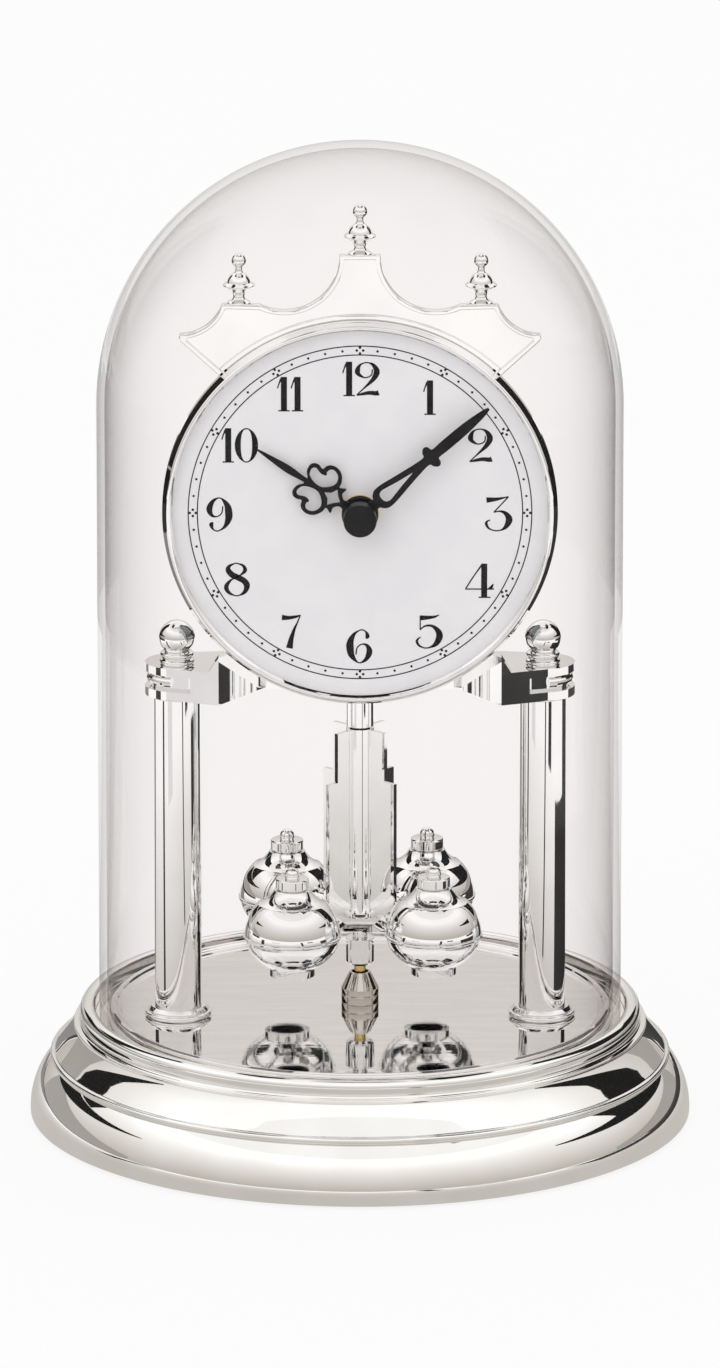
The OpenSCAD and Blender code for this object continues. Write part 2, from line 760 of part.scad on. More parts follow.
module pendulum_pin() {
    color(c_brass) at_pendulum() lathe([
        [0, 27.6], [0.9, 27.6], [1.3, 28.2], [1.3, 33.4], [1.2 + eps, 33.4], [1.2 + eps, 33.18], [0, 33.18]]);
}

base_shell();
base_board();
felt_pad();
base_plate();
clamp_plate();
guide_cup();
glass_dome();
pillar_tube(-1);  // pillar_tube_left
pillar_tube(1);  // pillar_tube_right
pillar_foot(-1);  // pillar_foot_left
pillar_foot(1);  // pillar_foot_right
tie_rods();
tie_nuts();
pillar_ball(-1);  // pillar_ball_left
pillar_ball(1);  // pillar_ball_right
arm(-1);  // arm_left
arm(1);  // arm_right
drive_housing();
drive_cover();
centre_tube();
drive_coil();
suspension_block();
dial_plate();
bezel();
crest();
finial(0, crest_peak);  // finial_centre
finial(-finial_x, crest_ledge);  // finial_left
finial(finial_x, crest_ledge);  // finial_right
dial_brackets();
hour_hand();
minute_hand();
hand_cap();
module_front();
module_back();
centre_nut();
battery();
circuit_board();
motor_unit();
minute_arbor();
hour_wheel();
minute_wheel();
setting_knob();
drive_pinion();
suspension_wire();
pendulum_rod();
drive_magnet();
pendulum_tube();
pendulum_vanes();
pendulum_dish();
pendulum_sleeve();
pendulum_pin();
ball_upper(1);  // ball_1_upper
ball_upper(2);  // ball_2_upper
ball_upper(3);  // ball_3_upper
ball_upper(4);  // ball_4_upper
ball_lower(1);  // ball_1_lower
ball_lower(2);  // ball_2_lower
ball_lower(3);  // ball_3_lower
ball_lower(4);  // ball_4_lower
ball_caps();
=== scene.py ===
"""Looks of an anniversary clock: smooth plated metal, a blown glass dome and a printed dial.

All piece dimensions are in millimetres in the row frame (+Z up, the dial faces -Y) and are
scaled to metres where a mesh is made.
"""
import json
import math

import bmesh
import bpy
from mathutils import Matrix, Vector


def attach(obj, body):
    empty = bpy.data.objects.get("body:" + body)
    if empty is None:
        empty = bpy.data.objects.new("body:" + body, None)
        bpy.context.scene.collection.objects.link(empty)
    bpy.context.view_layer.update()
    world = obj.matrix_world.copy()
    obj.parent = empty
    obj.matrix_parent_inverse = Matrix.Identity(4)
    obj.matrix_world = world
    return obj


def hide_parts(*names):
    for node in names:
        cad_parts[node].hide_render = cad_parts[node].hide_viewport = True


MM = 0.001
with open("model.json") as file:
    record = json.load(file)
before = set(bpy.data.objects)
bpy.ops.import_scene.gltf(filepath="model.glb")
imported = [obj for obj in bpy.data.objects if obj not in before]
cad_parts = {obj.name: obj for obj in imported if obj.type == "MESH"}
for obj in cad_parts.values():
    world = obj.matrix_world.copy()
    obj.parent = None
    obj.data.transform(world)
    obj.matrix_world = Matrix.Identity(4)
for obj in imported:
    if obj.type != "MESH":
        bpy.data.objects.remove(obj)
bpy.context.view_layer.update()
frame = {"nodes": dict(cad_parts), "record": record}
nodes = frame["nodes"]

# Main positions and sizes, the same as the CAD's
PLATE_Z = 24.5         # top of the mirror plate
DOME_OUT = 59.2        # radii of the glass
DOME_IN = 57.4
SHOULDER_Z = 166.0     # where the dome's round top starts
PILLAR_X = 41.2
PILLAR_Y = -5.4
TUBE_OUT = 5.3         # radii of a pillar's tube
TUBE_IN = 4.3
DIAL_Z = 144.8         # centre of the dial
FACE_Y = -16.0         # its front
HOUR_Y = -18.0         # front of each hand
MINUTE_Y = -20.0
HAND_THICK = 0.4
HOUR_TURN = 10.11 * 30     # degrees clockwise from 12
MINUTE_TURN = 8.16 * 6
PEND_Y = 5.0           # axis of the pendulum
REST_TURN = 2.4        # degrees it is turned at rest
BALL_REACH = 22.6      # from that axis to a ball's centre
BALL_Z = 45.3
BALL_R = 10.8


# ---------------------------------------------------------------- materials

def material(name):
    """A new node material and its Principled shader."""
    made = bpy.data.materials.new(name)
    made.use_nodes = True
    tree = made.node_tree
    return made, tree, tree.nodes["Principled BSDF"]


def noise(tree, scale, detail=3.0, stretch=(1, 1, 1)):
    """Noise over the object's own coordinates; scale is in cycles a metre."""
    where = tree.nodes.new("ShaderNodeTexCoord")
    mapping = tree.nodes.new("ShaderNodeMapping")
    mapping.inputs["Scale"].default_value = stretch
    cloud = tree.nodes.new("ShaderNodeTexNoise")
    cloud.inputs["Scale"].default_value = scale
    cloud.inputs["Detail"].default_value = detail
    tree.links.new(where.outputs["Object"], mapping.inputs["Vector"])
    tree.links.new(mapping.outputs["Vector"], cloud.inputs["Vector"])
    return cloud.outputs["Fac"]


def ramp(tree, value, low, high, start=0.35, end=0.65):
    """A value turned into a blend between two colours."""
    node = tree.nodes.new("ShaderNodeValToRGB")
    node.color_ramp.elements[0].position = start
    node.color_ramp.elements[1].position = end
    node.color_ramp.elements[0].color = (*low, 1)
    node.color_ramp.elements[1].color = (*high, 1)
    tree.links.new(value, node.inputs["Fac"])
    return node.outputs["Color"]


def spread(tree, value, low, high):
    """A value from 0.3..0.7 spread over low..high."""
    node = tree.nodes.new("ShaderNodeMapRange")
    node.inputs["From Min"].default_value = 0.3
    node.inputs["From Max"].default_value = 0.7
    node.inputs["To Min"].default_value = low
    node.inputs["To Max"].default_value = high
    tree.links.new(value, node.inputs["Value"])
    return node.outputs["Result"]


def bump(tree, shader, height, strength, distance):
    """Lets a height pattern tilt the shader's normal; distance is in metres."""
    node = tree.nodes.new("ShaderNodeBump")
    node.inputs["Strength"].default_value = strength
    node.inputs["Distance"].default_value = distance
    tree.links.new(height, node.inputs["Height"])
    tree.links.new(node.outputs["Normal"], shader.inputs["Normal"])


def metal(name, dark, light, rough, wave=0.0, wave_scale=40, stretch=(1, 1, 1)):
    """Polished plate: slight colour drift, faint wipe marks in the gloss, optional waviness."""
    made, tree, shader = material(name)
    shader.inputs["Metallic"].default_value = 1.0
    drift = noise(tree, 60, 2.0, stretch)
    tree.links.new(ramp(tree, drift, dark, light), shader.inputs["Base Color"])
    wipes = noise(tree, 900, 4.0, stretch)
    tree.links.new(spread(tree, wipes, rough[0], rough[1]), shader.inputs["Roughness"])
    if wave:
        bump(tree, shader, noise(tree, wave_scale, 2.0, stretch), wave, 0.001)
    return made


def paint(name, dark, light, rough, grain=0.0, grain_scale=3000, metallic=0.0):
    """Lacquer or moulded plastic: slight colour drift, grain in gloss and surface."""
    made, tree, shader = material(name)
    shader.inputs["Metallic"].default_value = metallic
    tree.links.new(ramp(tree, noise(tree, 150, 3.0), dark, light), shader.inputs["Base Color"])
    speck = noise(tree, grain_scale, 2.0)
    tree.links.new(spread(tree, speck, rough[0], rough[1]), shader.inputs["Roughness"])
    if grain:
        bump(tree, shader, speck, grain, 0.0001)
    shader.inputs["Specular IOR Level"].default_value = 0.25
    return made


def glass_material():
    """A thin clear wall: mirrors by angle, lets the rest through with a faint warm grey tint."""
    made = bpy.data.materials.new("dome_glass")
    made.use_nodes = True
    tree = made.node_tree
    tree.nodes.remove(tree.nodes["Principled BSDF"])
    out = tree.nodes["Material Output"]
    facing = tree.nodes.new("ShaderNodeLayerWeight")
    facing.inputs["Blend"].default_value = 0.5
    # Mirror share: 0.2% looking straight in, rising late to 40% at the glass's outline
    power = tree.nodes.new("ShaderNodeMath")
    power.operation = "POWER"
    power.inputs[1].default_value = 4.0
    gain = tree.nodes.new("ShaderNodeMath")
    gain.operation = "MULTIPLY_ADD"
    gain.inputs[1].default_value = 0.40
    gain.inputs[2].default_value = 0.002
    # The tint deepens towards the outline too
    tint = tree.nodes.new("ShaderNodeMath")
    tint.operation = "POWER"
    tint.inputs[1].default_value = 3.0
    clear = tree.nodes.new("ShaderNodeBsdfTransparent")
    gloss = tree.nodes.new("ShaderNodeBsdfGlossy")
    gloss.inputs["Roughness"].default_value = 0.015
    mix = tree.nodes.new("ShaderNodeMixShader")
    link = tree.links.new
    link(facing.outputs["Facing"], power.inputs[0])
    link(power.outputs[0], gain.inputs[0])
    link(facing.outputs["Facing"], tint.inputs[0])
    link(ramp(tree, tint.outputs[0], (0.983, 0.976, 0.975), (0.90, 0.885, 0.88), 0.0, 1.0),
         clear.inputs["Color"])
    link(gain.outputs[0], mix.inputs["Fac"])
    link(clear.outputs[0], mix.inputs[1])
    link(gloss.outputs[0], mix.inputs[2])
    link(mix.outputs[0], out.inputs["Surface"])
    return made


CHROME = metal("chrome_plate", (0.90, 0.90, 0.90), (0.95, 0.95, 0.945), (0.012, 0.04))
SPUN = metal("spun_plate", (0.90, 0.885, 0.86), (0.95, 0.94, 0.925), (0.015, 0.045), 0.05, 22)
FLAT_MIRROR = metal("flat_plate", (0.88, 0.875, 0.87), (0.93, 0.925, 0.92), (0.02, 0.06),
                    0.012, 60, (1, 7, 1))
CUP_METAL = metal("cup_plate", (0.60, 0.57, 0.52), (0.72, 0.69, 0.64), (0.02, 0.05))
STEEL = metal("zinc_steel", (0.42, 0.42, 0.42), (0.58, 0.58, 0.57), (0.25, 0.45), 0.1, 400)
BRASS = metal("brass_turned", (0.72, 0.52, 0.22), (0.86, 0.66, 0.32), (0.10, 0.24))
COPPER = metal("copper_wire", (0.55, 0.22, 0.08), (0.75, 0.36, 0.16), (0.25, 0.4), 0.4, 2500, (0, 0, 1))
GLASS = glass_material()
DIAL = paint("dial_lacquer", (0.86, 0.87, 0.895), (0.89, 0.90, 0.92), (0.38, 0.50), 0.05, 2500)
INK = paint("dial_ink", (0.006, 0.006, 0.007), (0.014, 0.014, 0.016), (0.55, 0.7))
HANDS = paint("hand_lacquer", (0.004, 0.004, 0.005), (0.010, 0.010, 0.012), (0.34, 0.46), 0.10, 4000)
BLACK_PLASTIC = paint("black_moulding", (0.02, 0.02, 0.021), (0.04, 0.04, 0.042), (0.5, 0.7), 0.5, 2500)
GREY_PLASTIC = paint("grey_moulding", (0.22, 0.225, 0.23), (0.30, 0.305, 0.31), (0.5, 0.7), 0.5, 2500)
WHITE_PLASTIC = paint("white_moulding", (0.76, 0.75, 0.71), (0.84, 0.83, 0.79), (0.35, 0.5), 0.2, 2500)
JACKET = paint("cell_jacket", (0.12, 0.14, 0.17), (0.20, 0.22, 0.25), (0.2, 0.35), 0.1, 900, 0.6)
GREEN = paint("solder_mask", (0.02, 0.16, 0.07), (0.05, 0.26, 0.12), (0.25, 0.4), 0.3, 1500)


def felt_material():
    """Dark green pressed wool with a little sheen."""
    made, tree, shader = material("felt")
    fibres = noise(tree, 2600, 6.0, (1, 1, 0.3))
    tree.links.new(ramp(tree, fibres, (0.02, 0.05, 0.035), (0.07, 0.16, 0.11)),
                   shader.inputs["Base Color"])
    shader.inputs["Roughness"].default_value = 0.95
    shader.inputs["Sheen Weight"].default_value = 0.4
    bump(tree, shader, fibres, 0.8, 0.0004)
    return made


def fibre_board_material():
    """Brown pressed board with coarse chips."""
    made, tree, shader = material("fibre_board")
    chips = noise(tree, 700, 6.0, (1, 1, 4))
    tree.links.new(ramp(tree, chips, (0.20, 0.13, 0.08), (0.38, 0.28, 0.19)),
                   shader.inputs["Base Color"])
    shader.inputs["Roughness"].default_value = 0.8
    bump(tree, shader, chips, 0.4, 0.0003)
    return made


FELT = felt_material()
BOARD = fibre_board_material()

BY_SLOT = {
    "chrome": CHROME, "nickel": SPUN, "mirror_plate": FLAT_MIRROR, "steel": STEEL,
    "brass": BRASS, "copper": COPPER, "glass": GLASS, "dial_white": DIAL, "hand_black": HANDS,
    "felt": FELT, "board": BOARD, "black_plastic": BLACK_PLASTIC, "grey_plastic": GREY_PLASTIC,
    "white_plastic": WHITE_PLASTIC, "cell_jacket": JACKET, "board_green": GREEN,
}
for part in frame["record"]["subparts"]:
    mesh = nodes[part["node"]].data
    mesh.materials.clear()
    mesh.materials.append(BY_SLOT[part["material_slot"]])


# ---------------------------------------------------------------- outlines

def arc(cx, cy, r, start, end, count=12):
    """Points on a circle from start to end, in degrees."""
    turns = [math.radians(start + (end - start) * i / count) for i in range(count + 1)]
    return [(cx + r * math.cos(t), cy + r * math.sin(t)) for t in turns]


def oval(cx, cy, rx, ry, start, end, count=16):
    """Points on an ellipse from start to end, in degrees."""
    turns = [math.radians(start + (end - start) * i / count) for i in range(count + 1)]
    return [(cx + rx * math.cos(t), cy + ry * math.sin(t)) for t in turns]


def flipped(points):
    """The same points on the other side of the upright axis."""
    return [(-x, y) for x, y in points]


def mirrored(half):
    """A closed outline from its right half."""
    return list(half) + flipped(half)[::-1]


def rounded(points, radius, closed=False, steps=4):
    """Each corner cut back by radius and replaced with a small curve."""
    out = []
    last = len(points) - 1
    for i, point in enumerate(points):
        if point[0] < 1e-4 and not closed or not closed and i in (0, last):
            out.append(tuple(point))
            continue
        here = Vector(point)
        before = Vector(points[i - 1]) - here
        after = Vector(points[(i + 1) % len(points)]) - here
        if before.length < 1e-6 or after.length < 1e-6:
            continue
        if before.normalized().dot(after.normalized()) < -0.97:
            out.append(tuple(point))
            continue
        first = here + before.normalized() * min(radius, 0.45 * before.length)
        second = here + after.normalized() * min(radius, 0.45 * after.length)
        for k in range(steps + 1):
            t = k / steps
            spot = first * (1 - t) ** 2 + here * 2 * t * (1 - t) + second * t ** 2
            out.append(tuple(spot))
    return out


def smooth(points, count=5, closed=True):
    """A Catmull-Rom curve through points of any size."""
    total = len(points)
    spans = total if closed else total - 1
    out = []
    for i in range(spans):
        if closed:
            a, b, c, d = (points[(i + k) % total] for k in (-1, 0, 1, 2))
        else:
            a, b = points[max(i - 1, 0)], points[i]
            c, d = points[i + 1], points[min(i + 2, total - 1)]
        for k in range(count):
            t = k / count
            out.append(tuple(
                0.5 * (2 * q + (r - p) * t + (2 * p - 5 * q + 4 * r - s) * t * t
                       + (3 * q - p - 3 * r + s) * t ** 3)
                for p, q, r, s in zip(a, b, c, d)))
    if not closed:
        out.append(tuple(points[-1]))
    return out


# ---------------------------------------------------------------- meshes

def finish(name, mesh, mat, body, replaced=(), weighted=True):
    """Links a new piece, gives it its material, puts it under its body and hides the CAD nodes it replaces.
    """
    obj = bpy.data.objects.new(name, mesh)
    bpy.context.scene.collection.objects.link(obj)
    mesh.materials.clear()
    mesh.materials.append(mat)
    if weighted:
        flat = obj.modifiers.new("even_shading", "WEIGHTED_NORMAL")
        flat.keep_sharp = True
        flat.weight = 80
    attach(obj, body)
    if replaced:
        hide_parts(*replaced)
    return obj


def lathe_mesh(name, profiles, spots, segments, axis="z"):
    """Turned solids in one mesh: each closed (radius, height) profile is turned round its axis."""
    verts = []
    faces = []
    for profile, (x, y, z) in ((p, s) for p in profiles for s in spots):
        rings = []
        for radius, height in profile:
            if radius < 1e-4:
                rings.append([len(verts)])
                verts.append((0, 0, height))
            else:
                rings.append(list(range(len(verts), len(verts) + segments)))
                for i in range(segments):
                    turn = math.tau * i / segments
                    verts.append((radius * math.cos(turn), radius * math.sin(turn), height))
        start = rings[0][0]
        for a, b in zip(rings, rings[1:] + rings[:1]):
            if len(a) == 1 and len(b) == 1:
                continue
            for i in range(segments):
                j = (i + 1) % segments
                corners = [a[i % len(a)], a[j % len(a)], b[j % len(b)], b[i % len(b)]]
                loop = list(dict.fromkeys(corners))
                if len(loop) > 2:
                    faces.append(loop)
        for k in range(start, len(verts)):
            px, py, pz = verts[k]
            if axis == "y":
                px, py, pz = px, -pz, py
            verts[k] = ((px + x) * MM, (py + y) * MM, (pz + z) * MM)
    mesh = bpy.data.meshes.new(name)
    mesh.from_pydata(verts, [], faces)
    mesh.validate()
    for face in mesh.polygons:
        face.use_smooth = True
    fix_normals(mesh)
    return mesh


def fix_normals(mesh):
    """Turns all faces of a closed mesh outwards."""
    work = bmesh.new()
    work.from_mesh(mesh)
    bmesh.ops.recalc_face_normals(work, faces=work.faces)
    work.to_mesh(mesh)
    work.free()


def lathe(name, profile, spot, mat, body, replaced=(), radius=0.15, segments=128, axis="z"):
    """One turned piece with its sharp corners slightly rounded."""
    shape = rounded(profile, radius, closed=profile[0][0] > 1e-4)
    spots = spot if isinstance(spot, list) else [spot]
    mesh = lathe_mesh(name, [shape], spots, segments, axis)
    return finish(name, mesh, mat, body, replaced)


def slab_mesh(name, loops, thick, bevel, place):
    """A flat outline with holes given thickness and bevelled edges; place maps x, y, h to the row."""
    curve = bpy.data.curves.new(name, "CURVE")
    curve.dimensions = "2D"
    curve.fill_mode = "BOTH"
    curve.extrude = thick / 2 - bevel
    curve.bevel_depth = bevel
    curve.bevel_resolution = 2
    curve.offset = -bevel
    for loop in loops:
        line = curve.splines.new("POLY")
        line.points.add(len(loop) - 1)
        for point, (x, y) in zip(line.points, loop):
            point.co = (x, y, 0, 1)
        line.use_cyclic_u = True
    holder = bpy.data.objects.new(name + "_outline", curve)
    bpy.context.scene.collection.objects.link(holder)
    seen = bpy.context.evaluated_depsgraph_get()
    mesh = bpy.data.meshes.new_from_object(holder.evaluated_get(seen))
    bpy.data.objects.remove(holder)
    bpy.data.curves.remove(curve)
    mesh.name = name
    for vert in mesh.vertices:
        vert.co = Vector(place(*vert.co)) * MM
    merge(mesh)
    return mesh


def merge(mesh):
    """Joins doubled points, then smooths all but the sharp edges."""
    work = bmesh.new()
    work.from_mesh(mesh)
    bmesh.ops.remove_doubles(work, verts=work.verts, dist=2e-6)
    bmesh.ops.recalc_face_normals(work, faces=work.faces)
    for edge in work.edges:
        edge.smooth = edge.calc_face_angle(0) < math.radians(50)
    for face in work.faces:
        face.smooth = True
    work.to_mesh(mesh)
    work.free()


def upright(y0, thick):
    """Puts a drawing up in the XZ plane, from y0 back to y0 + thick."""
    return lambda x, y, h: (x, y0 + thick / 2 - h, y)


def joined(name, meshes):
    """Several meshes as one."""
    work = bmesh.new()
    for mesh in meshes:
        work.from_mesh(mesh)
    out = bpy.data.meshes.new(name)
    work.to_mesh(out)
    work.free()
    for mesh in meshes:
        bpy.data.meshes.remove(mesh)
    return out


# ---------------------------------------------------------------- base and dome

ovolo = arc(59, 1.7, 16, -3, 48, 26)
bead = [(69.9, 13.6)] + arc(69.7, 14.3, 0.75, -60, 70, 10) + [(69.4, 15.1)]
shell_side = (
    [(74.1, 0.4)] + ovolo + bead
    + [(68.7, 16.0), (67.7, 17.3), (66.5, 18.9), (65.6, 20.3), (65.0, 21.4), (65.0, 21.9)]
    + arc(64.3, 23.0, 1.0, 250, 170, 10)
    + arc(61.6, 24.4, 2.0, 0, 120, 18)
    + [(60.2, 25.6), (60.2, 23.0), (50.0, 23.0), (50.0, 21.8), (62.4, 21.8), (63.4, 21.0)]
    + [(64.6, 18.8), (66.4, 16.4), (67.8, 14.6), (68.6, 12.6)]
    + arc(59, 1.7, 14.8, 40, 0, 16) + [(72.9, 0.4)])
lathe("base_spun_shell", shell_side, (0, 0, 0), SPUN, "base", ["base_shell"], 0.2, 256)

plate_side = [(0, 23.0), (0, PLATE_Z), (54.0, PLATE_Z), (54.5, 24.95), (55.0, 25.1), (55.4, 25.7),
              (56.0, 25.95), (56.7, 25.5), (57.0, 24.8), (57.0, 23.0)]
lathe("base_mirror_plate", plate_side, (0, 0, 0), FLAT_MIRROR, "base",
      ["base_plate"], 0.18, 256)

felt_side = [(0, 0.0), (0, 1.0), (71.6, 1.0), (71.6, 0.0)]
lathe("felt_disc", felt_side, (0, 0, 0), FELT, "base", ["felt_pad"], 0.3, 160)

cup_side = [(0, 26.0), (1.9, 26.0), (1.9, 31.7), (2.35, 31.7), (4.3, 27.9), (4.3, 26.6),
            (4.15, 26.45), (4.3, 26.3), (4.3, PLATE_Z), (1.5, PLATE_Z), (1.5, 22.9), (0, 22.9)]
lathe("guide_cup_turned", cup_side, (0, PEND_Y, 0), CUP_METAL, "base", ["guide_cup"], 0.12)

dome_side = (
    [(DOME_IN, 23.05), (DOME_OUT, 23.05), (DOME_OUT, 60), (DOME_OUT, 120), (DOME_OUT, SHOULDER_Z)]
    + arc(0, SHOULDER_Z, DOME_OUT, 0, 90, 48)[1:-1]
    + [(0, SHOULDER_Z + DOME_OUT), (0, SHOULDER_Z + DOME_IN)]
    + arc(0, SHOULDER_Z, DOME_IN, 90, 0, 48)[1:-1]
    + [(DOME_IN, SHOULDER_Z), (DOME_IN, 120), (DOME_IN, 60)])
lathe("glass_dome_blown", dome_side, (0, 0, 0), GLASS, "dome", ["glass_dome"], 0.5, 256)

# ---------------------------------------------------------------- pillars and arms

for side, label in ((-1, "left"), (1, "right")):
    spot = (side * PILLAR_X, PILLAR_Y, 0)
    tube_side = [(TUBE_IN, PLATE_Z), (TUBE_OUT, PLATE_Z), (TUBE_OUT, 50), (TUBE_OUT, 75),
                 (TUBE_OUT, 99.5), (TUBE_IN, 99.5)]
    lathe(f"pillar_{label}_tube", tube_side, spot, CHROME, "base",
          [f"pillar_tube_{label}"], 0.12, 96)
    foot_side = (
        [(TUBE_OUT + 0.02, PLATE_Z), (7.15, PLATE_Z)] + arc(7.05, 25.2, 0.6, -60, 60, 8)
        + [(6.9, 25.8), (6.9, 26.1), (6.2, 27.0), (TUBE_OUT + 0.02, 27.0)])
    lathe(f"pillar_{label}_foot", foot_side, spot, CHROME, "base",
          [f"pillar_foot_{label}"], 0.1, 96)
    ball_side = (
        [(0, 106.9), (3.9, 106.9)] + arc(3.35, 107.7, 0.6, -40, 60, 8) + [(3.3, 108.5)]
        + arc(3.2, 109.3, 0.6, -50, 70, 8) + [(2.7, 110.1)]
        + arc(0, 113.05, 4.05, -48, 89, 28) + [(0, 117.1)])
    lathe(f"pillar_{label}_ball", ball_side, spot, CHROME, "base",
          [f"pillar_ball_{label}"], 0.08, 96)

# ---------------------------------------------------------------- dial group

bezel_side = (
    [(42.0, 15.98), (42.0, 17.1), (42.35, 17.5), (42.55, 17.7)]
    + arc(42.9, 17.75, 0.6, 130, 20, 12)
    + [(44.3, 15.95), (44.3, 13.6), (43.1, 13.6), (43.1, 15.98)])
lathe("bezel_ring", bezel_side, (0, 0, DIAL_Z), CHROME, "base", ["bezel"], 0.08, 256, "y")


def crest_half(d):
    """Right half of the crest's outline from the top down, drawn inset by d."""
    return (
        [(4.55 - d, 59.2 - d)] + arc(16.9, 58.9, 12.35 + d, 180 + 3.5 * d, 297 - 2.5 * d, 28)
        + [(30.5 - d * 0.9, 47.95 - d)] + arc(40.2, 51.0, 9.9 + d, 200 + 2 * d, 268 - 5.5 * d, 14)
        + [(40.3 - d * 1.55, 40.9 - d), (40.4 - d * 1.6, 39.9 - d * 0.3)]
        + [(39.8 - d * 1.35, 39.2 + d * 0.1), (32.4 - d, 32.4 + d * 0.6)])


def raised(points):
    """A drawing round the dial's centre moved up to the dial's height."""
    return [(x, y + DIAL_Z) for x, y in points]


def crest_loop(d, r):
    """The whole crest outline closed along the bezel's circle of radius r."""
    half = crest_half(d)
    foot_x, foot_y = half[-1]
    turn = math.degrees(math.atan2(foot_y, foot_x))
    under = arc(0, 0, r, turn, 180 - turn, 60)
    return half + under + flipped(half)[::-1]


CREST_THICK = 1.38
RIM_THICK = 0.64
RIM_WIDTH = 1.15
CREST_R = 44.4
crest_edge = raised(crest_loop(0, CREST_R))
crest_inset = raised(crest_loop(RIM_WIDTH, 45.7))
back_plate = slab_mesh("crest_back", [crest_edge], CREST_THICK, 0.12, upright(-15.38, CREST_THICK))
rim = slab_mesh("crest_rim", [crest_edge, crest_inset], RIM_THICK, 0.28, upright(-15.8, RIM_THICK))
finish("crest_plate", joined("crest_plate", [back_plate, rim]), CHROME, "base", ["crest"])

finial_side = rounded(
    [(0, 0), (2.65, 0), (2.65, 0.35), (2.1, 0.6), (1.35, 1.2), (1.2, 1.9), (1.5, 2.7), (2.4, 3.5),
     (3.3, 3.95), (3.65, 4.25), (3.3, 4.5)] + oval(0, 4.5, 2.65, 2.75, 8, 68, 14)
    + [(0.8, 7.4), (0.7, 8.1), (0.85, 8.5)], 0.3) + arc(0, 9.85, 1.6, -50, 89, 18) + [(0, 11.45)]
for label, x, z in (("centre", 0, 59.2), ("left", -27.0, 47.95), ("right", 27.0, 47.95)):
    lathe(f"finial_{label}_turned", finial_side, (x, -14.7, DIAL_Z + z), CHROME, "base",
          [f"finial_{label}"], 0.02, 64)

dial_side = [(3.0, 15.2), (3.0, 15.98), (42.0, 15.98), (42.9, 15.98), (42.9, 15.2)]
lathe("dial_disc", dial_side, (0, 0, DIAL_Z), DIAL, "base", ["dial_plate"], 0.05, 192, "y")


def at_hand(points, turn):
    """A drawing that points up, turned clockwise by turn degrees about the dial's centre."""
    c, s = math.cos(math.radians(turn)), math.sin(math.radians(turn))
    return [(x * c + y * s, DIAL_Z - x * s + y * c) for x, y in points]


hour_side = (
    [(1.1, 3.0), (0.9, 5.0), (1.9, 5.95), (3.3, 5.8), (2.75, 7.25), (3.9, 7.5), (5.2, 8.2), (6.0, 9.2)]
    + [(6.3, 10.5), (6.0, 11.7), (5.3, 12.4), (4.3, 12.8), (4.65, 14.0), (4.4, 15.1), (3.5, 15.7)]
    + [(1.95, 15.5), (0.6, 14.6), (0.8, 17.8), (0.85, 20.2), (0.6, 23.2), (0.35, 26.0), (0.16, 27.6)])
hour_eye = (
    [(2.2, 14.8), (3.0, 14.9), (3.55, 14.6), (3.7, 14.0), (3.35, 13.1), (3.2, 12.4), (3.35, 11.5)]
    + [(3.75, 11.3), (4.2, 11.6), (5.1, 11.3), (5.45, 10.5), (5.1, 9.4), (4.3, 8.7), (3.2, 8.45)]
    + [(2.2, 8.85), (1.3, 9.7), (0.65, 10.8), (0.6, 12.2), (0.95, 13.5), (1.5, 14.4)])
hour_gap = [(0, 9.6), (0.8, 8.15), (2.15, 7.4), (0.95, 6.5), (0, 5.3), (-0.95, 6.5), (-2.15, 7.4),
            (-0.8, 8.15)]
minute_side = (
    [(1.3, 2.5), (1.2, 4.8), (1.75, 5.2), (2.5, 6.2), (2.65, 7.4), (2.5, 9.1), (1.85, 13.0)]
    + [(1.25, 17.0), (1.05, 19.6), (1.9, 20.1), (2.6, 20.8), (2.65, 21.5), (2.2, 22.0)]
    + [(1.35, 22.2), (1.15, 22.9), (1.25, 25.1), (1.2, 31.0), (0.75, 36.0), (0.3, 38.1)])
minute_eye = [(0.06, 15.5), (0.65, 11.9), (1.2, 9.3), (1.5, 7.7), (1.25, 6.9), (0.6, 6.45)]


def hand_outline(half, hub_r):
    """A hand's outline with its hub disc joined on below."""
    neck = half[0][0]
    start = math.degrees(math.acos(neck / hub_r))
    curve = smooth([(neck, math.sqrt(hub_r ** 2 - neck ** 2))] + half[1:], 4, closed=False)
    hub = arc(0, 0, hub_r, 180 - start, 360 + start, 44)[1:-1]
    return curve + flipped(curve)[::-1] + hub


hour_mesh = slab_mesh(
    "hour_hand_cut",
    [at_hand(loop, HOUR_TURN) for loop in (
        hand_outline(hour_side, 4.1), smooth(hour_eye, 4), flipped(smooth(hour_eye, 4)),
        rounded(hour_gap, 0.25, True), arc(0, 0, 2.02, 0, 351, 39))],
    HAND_THICK, 0.08, upright(HOUR_Y, HAND_THICK))
finish("hour_hand_cut", hour_mesh, HANDS, "hour", ["hour_hand"])
minute_mesh = slab_mesh(
    "minute_hand_cut",
    [at_hand(loop, MINUTE_TURN) for loop in (
        hand_outline(minute_side, 3.3), rounded(mirrored(minute_eye), 0.3, True),
        arc(0, 0, 1.02, 0, 351, 39))],
    HAND_THICK, 0.08, upright(MINUTE_Y, HAND_THICK))
finish("minute_hand_cut", minute_mesh, HANDS, "minute", ["minute_hand"])
cap_side = [(0, 21.3), (1.0, 21.3), (1.0, 20.02), (3.7, 20.02), (3.7, 23.7), (3.55, 23.9), (0, 23.9)]
lathe("hand_cap_turned", cap_side, (0, 0, DIAL_Z), HANDS, "minute", ["hand_cap"],
      0.15, 96, "y")

# ---------------------------------------------------------------- dial print

DIGIT_H = 7.9
PRINT_DEPTH = 0.03

